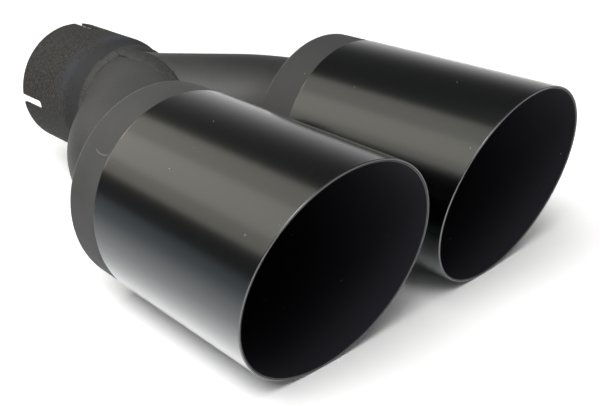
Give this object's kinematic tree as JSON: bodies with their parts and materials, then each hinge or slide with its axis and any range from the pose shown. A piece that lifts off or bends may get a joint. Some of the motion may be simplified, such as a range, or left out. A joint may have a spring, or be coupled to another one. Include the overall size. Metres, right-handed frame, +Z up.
{
  "type": "exhaust tip",
  "caption": "Black twin exhaust tip: slotted inlet collar, forked bent pipes, capped round shells with slash-cut open mouths.",
  "frame": {"origin": "centre of the inlet collar's open mouth", "axes": "+Y out of the inlet along the tailpipe, -Y towards the tips' mouths, +X to the right when looking into the mouths, +Z up"},
  "size_m": [0.2114, 0.2993, 0.1],
  "materials": {
    "shell_coating": "satin black coating",
    "pipe_coating": "matte black heat-resistant paint",
    "collar_coating": "matte black paint over a fine-grained blasted surface",
    "weld_metal": "painted weld bead"
  },
  "bodies": {
    "root": {"inlet_collar": "collar_coating", "collar_weld": "weld_metal", "crotch_weld": "weld_metal", "branch_pipe_left": "pipe_coating", "branch_pipe_right": "pipe_coating", "end_cap_left": "pipe_coating", "end_cap_right": "pipe_coating", "tip_shell_left": "shell_coating", "tip_shell_right": "shell_coating", "cap_weld_left": "weld_metal", "cap_weld_right": "weld_metal"}
  },
  "joints": []
}
